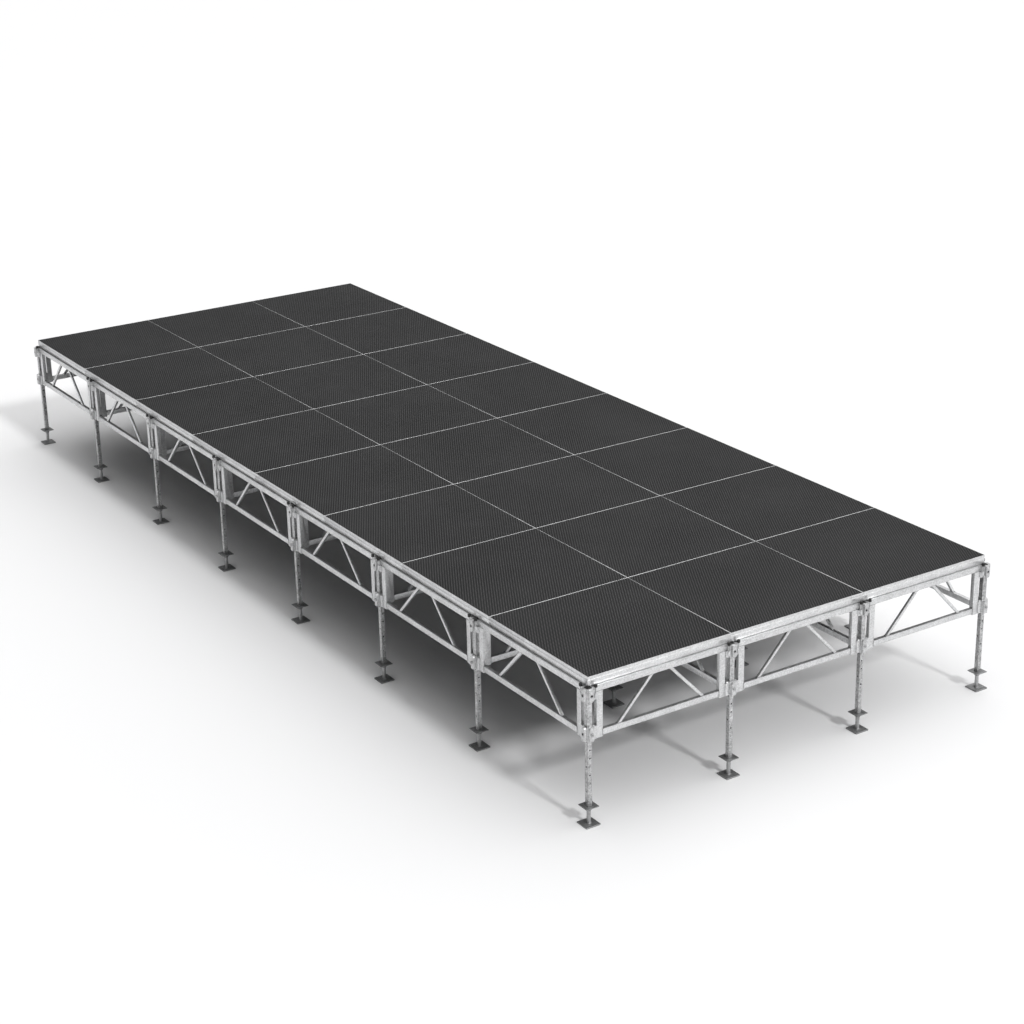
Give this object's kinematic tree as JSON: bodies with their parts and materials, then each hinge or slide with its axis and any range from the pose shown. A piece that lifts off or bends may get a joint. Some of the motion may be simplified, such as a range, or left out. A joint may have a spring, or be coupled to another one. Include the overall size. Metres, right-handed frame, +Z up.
{
  "type": "stage riser platform",
  "caption": "Modular stage platform: dark anti-slip deck panels on an aluminium truss grid with telescopic legs and levelling screw jacks.",
  "frame": {"origin": "on the floor under the middle of the deck", "axes": "+X across the stage, +Y along it towards the back edge, +Z up"},
  "size_m": [3.78, 9.88, 1.11],
  "materials": {
    "deck_board": "phenolic anti-slip film, matt charcoal",
    "deck_edge": "mill finish extrusion",
    "truss_tube": "mill finish tube",
    "leg_tube": "mottled mill finish",
    "cast_coupler": "as-cast, tumbled",
    "plate_steel": "zinc plated, dull",
    "jack_steel": "zinc plated, dull",
    "zinc_screw": "zinc plated",
    "black_knob": "black moulded",
    "black_plastic": "black moulded"
  },
  "bodies": {
    "stage_frame": {"deck_boards_column_1": "deck_board", "deck_frames_column_1": "deck_edge", "cross_trusses_column_1": "truss_tube", "deck_boards_column_2": "deck_board", "deck_frames_column_2": "deck_edge", "cross_trusses_column_2": "truss_tube", "deck_boards_column_3": "deck_board", "deck_frames_column_3": "deck_edge", "cross_trusses_column_3": "truss_tube", "deck_ribs": "truss_tube", "side_trusses_line_a": "truss_tube", "side_trusses_line_b": "truss_tube", "side_trusses_line_c": "truss_tube", "side_trusses_line_d": "truss_tube", "truss_screws": "zinc_screw", "truss_knobs": "black_knob", "upper_couplers": "cast_coupler", "lower_couplers": "cast_coupler", "leg_sleeves": "leg_tube", "sleeve_caps": "black_plastic", "clamp_bolts": "zinc_screw"},
    "telescopic_legs": {"leg_tubes": "leg_tube", "leg_foot_plates": "plate_steel"},
    "jack_a1": {"jack_a1": "jack_steel"},
    "jack_b1": {"jack_b1": "jack_steel"},
    "jack_c1": {"jack_c1": "jack_steel"},
    "jack_d1": {"jack_d1": "jack_steel"},
    "jack_a2": {"jack_a2": "jack_steel"},
    "jack_b2": {"jack_b2": "jack_steel"},
    "jack_c2": {"jack_c2": "jack_steel"},
    "jack_d2": {"jack_d2": "jack_steel"},
    "jack_a3": {"jack_a3": "jack_steel"},
    "jack_b3": {"jack_b3": "jack_steel"},
    "jack_c3": {"jack_c3": "jack_steel"},
    "jack_d3": {"jack_d3": "jack_steel"},
    "jack_a4": {"jack_a4": "jack_steel"},
    "jack_b4": {"jack_b4": "jack_steel"},
    "jack_c4": {"jack_c4": "jack_steel"},
    "jack_d4": {"jack_d4": "jack_steel"},
    "jack_a5": {"jack_a5": "jack_steel"},
    "jack_b5": {"jack_b5": "jack_steel"},
    "jack_c5": {"jack_c5": "jack_steel"},
    "jack_d5": {"jack_d5": "jack_steel"},
    "jack_a6": {"jack_a6": "jack_steel"},
    "jack_b6": {"jack_b6": "jack_steel"},
    "jack_c6": {"jack_c6": "jack_steel"},
    "jack_d6": {"jack_d6": "jack_steel"},
    "jack_a7": {"jack_a7": "jack_steel"},
    "jack_b7": {"jack_b7": "jack_steel"},
    "jack_c7": {"jack_c7": "jack_steel"},
    "jack_d7": {"jack_d7": "jack_steel"},
    "jack_a8": {"jack_a8": "jack_steel"},
    "jack_b8": {"jack_b8": "jack_steel"},
    "jack_c8": {"jack_c8": "jack_steel"},
    "jack_d8": {"jack_d8": "jack_steel"}
  },
  "joints": [
    {"name": "legs_height", "type": "slide", "parent": "stage_frame", "child": "telescopic_legs", "axis": [0, 0, 1], "range_m": [-0.127, 0.127]},
    {"name": "jack_a1_travel", "type": "slide", "parent": "telescopic_legs", "child": "jack_a1", "axis": [0, 0, 1], "range_m": [-0.1, 0.085]},
    {"name": "jack_b1_travel", "type": "slide", "parent": "telescopic_legs", "child": "jack_b1", "axis": [0, 0, 1], "range_m": [-0.1, 0.085]},
    {"name": "jack_c1_travel", "type": "slide", "parent": "telescopic_legs", "child": "jack_c1", "axis": [0, 0, 1], "range_m": [-0.1, 0.085]},
    {"name": "jack_d1_travel", "type": "slide", "parent": "telescopic_legs", "child": "jack_d1", "axis": [0, 0, 1], "range_m": [-0.1, 0.085]},
    {"name": "jack_a2_travel", "type": "slide", "parent": "telescopic_legs", "child": "jack_a2", "axis": [0, 0, 1], "range_m": [-0.1, 0.085]},
    {"name": "jack_b2_travel", "type": "slide", "parent": "telescopic_legs", "child": "jack_b2", "axis": [0, 0, 1], "range_m": [-0.1, 0.085]},
    {"name": "jack_c2_travel", "type": "slide", "parent": "telescopic_legs", "child": "jack_c2", "axis": [0, 0, 1], "range_m": [-0.1, 0.085]},
    {"name": "jack_d2_travel", "type": "slide", "parent": "telescopic_legs", "child": "jack_d2", "axis": [0, 0, 1], "range_m": [-0.1, 0.085]},
    {"name": "jack_a3_travel", "type": "slide", "parent": "telescopic_legs", "child": "jack_a3", "axis": [0, 0, 1], "range_m": [-0.1, 0.085]},
    {"name": "jack_b3_travel", "type": "slide", "parent": "telescopic_legs", "child": "jack_b3", "axis": [0, 0, 1], "range_m": [-0.1, 0.085]},
    {"name": "jack_c3_travel", "type": "slide", "parent": "telescopic_legs", "child": "jack_c3", "axis": [0, 0, 1], "range_m": [-0.1, 0.085]},
    {"name": "jack_d3_travel", "type": "slide", "parent": "telescopic_legs", "child": "jack_d3", "axis": [0, 0, 1], "range_m": [-0.1, 0.085]},
    {"name": "jack_a4_travel", "type": "slide", "parent": "telescopic_legs", "child": "jack_a4", "axis": [0, 0, 1], "range_m": [-0.1, 0.085]},
    {"name": "jack_b4_travel", "type": "slide", "parent": "telescopic_legs", "child": "jack_b4", "axis": [0, 0, 1], "range_m": [-0.1, 0.085]},
    {"name": "jack_c4_travel", "type": "slide", "parent": "telescopic_legs", "child": "jack_c4", "axis": [0, 0, 1], "range_m": [-0.1, 0.085]},
    {"name": "jack_d4_travel", "type": "slide", "parent": "telescopic_legs", "child": "jack_d4", "axis": [0, 0, 1], "range_m": [-0.1, 0.085]},
    {"name": "jack_a5_travel", "type": "slide", "parent": "telescopic_legs", "child": "jack_a5", "axis": [0, 0, 1], "range_m": [-0.1, 0.085]},
    {"name": "jack_b5_travel", "type": "slide", "parent": "telescopic_legs", "child": "jack_b5", "axis": [0, 0, 1], "range_m": [-0.1, 0.085]},
    {"name": "jack_c5_travel", "type": "slide", "parent": "telescopic_legs", "child": "jack_c5", "axis": [0, 0, 1], "range_m": [-0.1, 0.085]},
    {"name": "jack_d5_travel", "type": "slide", "parent": "telescopic_legs", "child": "jack_d5", "axis": [0, 0, 1], "range_m": [-0.1, 0.085]},
    {"name": "jack_a6_travel", "type": "slide", "parent": "telescopic_legs", "child": "jack_a6", "axis": [0, 0, 1], "range_m": [-0.1, 0.085]},
    {"name": "jack_b6_travel", "type": "slide", "parent": "telescopic_legs", "child": "jack_b6", "axis": [0, 0, 1], "range_m": [-0.1, 0.085]},
    {"name": "jack_c6_travel", "type": "slide", "parent": "telescopic_legs", "child": "jack_c6", "axis": [0, 0, 1], "range_m": [-0.1, 0.085]},
    {"name": "jack_d6_travel", "type": "slide", "parent": "telescopic_legs", "child": "jack_d6", "axis": [0, 0, 1], "range_m": [-0.1, 0.085]},
    {"name": "jack_a7_travel", "type": "slide", "parent": "telescopic_legs", "child": "jack_a7", "axis": [0, 0, 1], "range_m": [-0.1, 0.085]},
    {"name": "jack_b7_travel", "type": "slide", "parent": "telescopic_legs", "child": "jack_b7", "axis": [0, 0, 1], "range_m": [-0.1, 0.085]},
    {"name": "jack_c7_travel", "type": "slide", "parent": "telescopic_legs", "child": "jack_c7", "axis": [0, 0, 1], "range_m": [-0.1, 0.085]},
    {"name": "jack_d7_travel", "type": "slide", "parent": "telescopic_legs", "child": "jack_d7", "axis": [0, 0, 1], "range_m": [-0.1, 0.085]},
    {"name": "jack_a8_travel", "type": "slide", "parent": "telescopic_legs", "child": "jack_a8", "axis": [0, 0, 1], "range_m": [-0.1, 0.085]},
    {"name": "jack_b8_travel", "type": "slide", "parent": "telescopic_legs", "child": "jack_b8", "axis": [0, 0, 1], "range_m": [-0.1, 0.085]},
    {"name": "jack_c8_travel", "type": "slide", "parent": "telescopic_legs", "child": "jack_c8", "axis": [0, 0, 1], "range_m": [-0.1, 0.085]},
    {"name": "jack_d8_travel", "type": "slide", "parent": "telescopic_legs", "child": "jack_d8", "axis": [0, 0, 1], "range_m": [-0.1, 0.085]}
  ]
}
